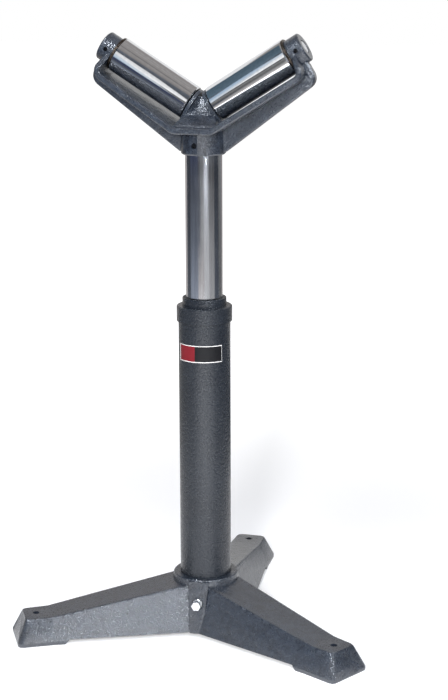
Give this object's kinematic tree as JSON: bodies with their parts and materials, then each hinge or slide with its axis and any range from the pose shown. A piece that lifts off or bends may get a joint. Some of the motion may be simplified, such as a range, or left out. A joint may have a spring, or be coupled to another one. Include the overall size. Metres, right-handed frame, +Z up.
{
  "type": "roller stand",
  "caption": "Height-adjustable pedestal stand with a cast tripod foot, a sliding mast and a V-shaped head whose free-turning rollers carry pipe or round bar",
  "frame": {"origin": "on the floor, under the middle of the stand's outline; the column axis is 58.5 mm behind it along -Y", "axes": "+Z up along the column; +X along the roller V, left roller at -X and right roller at +X; the single leg points to +Y and the lock bolt between the other legs to -Y"},
  "size_m": [0.5388, 0.469, 0.8833],
  "materials": {
    "cast_paint": "dark blue-grey paint over rough cast iron",
    "tube_paint": "dark grey satin paint with a fine orange peel",
    "ground_steel": "ground and polished steel",
    "roller_chrome": "bright plated steel",
    "zinc": "bright zinc plating",
    "brass": "turned brass",
    "cap_steel": "dull brown oiled steel",
    "black_plastic": "black moulded plastic"
  },
  "bodies": {
    "stand": {"tripod_base": "cast_paint", "base_lock_bolt": "zinc", "base_lock_nut": "zinc", "outer_tube": "tube_paint", "tube_collar": "tube_paint"},
    "guide_bush": {"mast_guide": "black_plastic"},
    "mast_and_head": {"mast_tube": "ground_steel", "head_casting": "cast_paint", "head_set_screw": "zinc", "left_axle": "ground_steel", "left_axle_screw": "zinc", "left_inner_spacer": "ground_steel", "left_outer_spacer": "cap_steel", "left_inner_race_on_axle": "ground_steel", "left_outer_race_on_axle": "ground_steel", "right_axle": "ground_steel", "right_axle_screw": "zinc", "right_inner_spacer": "ground_steel", "right_outer_spacer": "cap_steel", "right_inner_race_on_axle": "ground_steel", "right_outer_race_on_axle": "ground_steel"},
    "clamp_tip": {"clamp_pad": "brass"},
    "clamp_handle": {"clamp_screw": "ground_steel", "clamp_lever": "ground_steel", "clamp_knob": "black_plastic"},
    "left_roller_set": {"left_roller": "roller_chrome", "left_inner_race_in_roller": "roller_chrome", "left_outer_race_in_roller": "roller_chrome", "left_inner_end_cap": "cap_steel", "left_outer_end_cap": "cap_steel"},
    "left_inner_balls": {"left_inner_ball_cage": "ground_steel"},
    "left_outer_balls": {"left_outer_ball_cage": "ground_steel"},
    "right_roller_set": {"right_roller": "roller_chrome", "right_inner_race_in_roller": "roller_chrome", "right_outer_race_in_roller": "roller_chrome", "right_inner_end_cap": "cap_steel", "right_outer_end_cap": "cap_steel"},
    "right_inner_balls": {"right_inner_ball_cage": "ground_steel"},
    "right_outer_balls": {"right_outer_ball_cage": "ground_steel"}
  },
  "joints": [
    {"name": "mast_slide", "type": "slide", "parent": "stand", "child": "guide_bush", "axis": [0, 0, 1], "range_m": [-0.2, 0.175]},
    {"name": "mast_turn", "type": "hinge", "parent": "guide_bush", "child": "mast_and_head", "pos_m": [0, -0.05851, 0.256], "axis": [0, 0, 1], "continuous": true},
    {"name": "clamp_travel", "type": "slide", "parent": "stand", "child": "clamp_tip", "axis": [0, 1, 0], "range_m": [0, 0.000583]},
    {"name": "clamp_turn", "type": "hinge", "parent": "clamp_tip", "child": "clamp_handle", "pos_m": [0, -0.00421, 0.4815], "axis": [0, 1, 0], "range_deg": [0, 122]},
    {"name": "left_roller_spin", "type": "hinge", "parent": "mast_and_head", "child": "left_roller_set", "pos_m": [-0.07208, -0.05851, 0.81894], "axis": [-0.848, 0, 0.5299], "continuous": true},
    {"name": "left_inner_balls_orbit", "type": "hinge", "parent": "mast_and_head", "child": "left_inner_balls", "pos_m": [-0.07208, -0.05851, 0.81894], "axis": [-0.848, 0, 0.5299], "continuous": true},
    {"name": "left_outer_balls_orbit", "type": "hinge", "parent": "mast_and_head", "child": "left_outer_balls", "pos_m": [-0.07208, -0.05851, 0.81894], "axis": [-0.848, 0, 0.5299], "continuous": true},
    {"name": "right_roller_spin", "type": "hinge", "parent": "mast_and_head", "child": "right_roller_set", "pos_m": [0.07208, -0.05851, 0.81894], "axis": [0.848, 0, 0.5299], "continuous": true},
    {"name": "right_inner_balls_orbit", "type": "hinge", "parent": "mast_and_head", "child": "right_inner_balls", "pos_m": [0.07208, -0.05851, 0.81894], "axis": [0.848, 0, 0.5299], "continuous": true},
    {"name": "right_outer_balls_orbit", "type": "hinge", "parent": "mast_and_head", "child": "right_outer_balls", "pos_m": [0.07208, -0.05851, 0.81894], "axis": [0.848, 0, 0.5299], "continuous": true}
  ],
  "couplings": [
    {"joint": "clamp_turn", "follows": "clamp_travel", "rad_per_m": 3590.4},
    {"joint": "left_inner_balls_orbit", "follows": "left_roller_spin", "ratio": 0.6006},
    {"joint": "left_outer_balls_orbit", "follows": "left_roller_spin", "ratio": 0.6006},
    {"joint": "right_inner_balls_orbit", "follows": "right_roller_spin", "ratio": 0.6006},
    {"joint": "right_outer_balls_orbit", "follows": "right_roller_spin", "ratio": 0.6006}
  ]
}
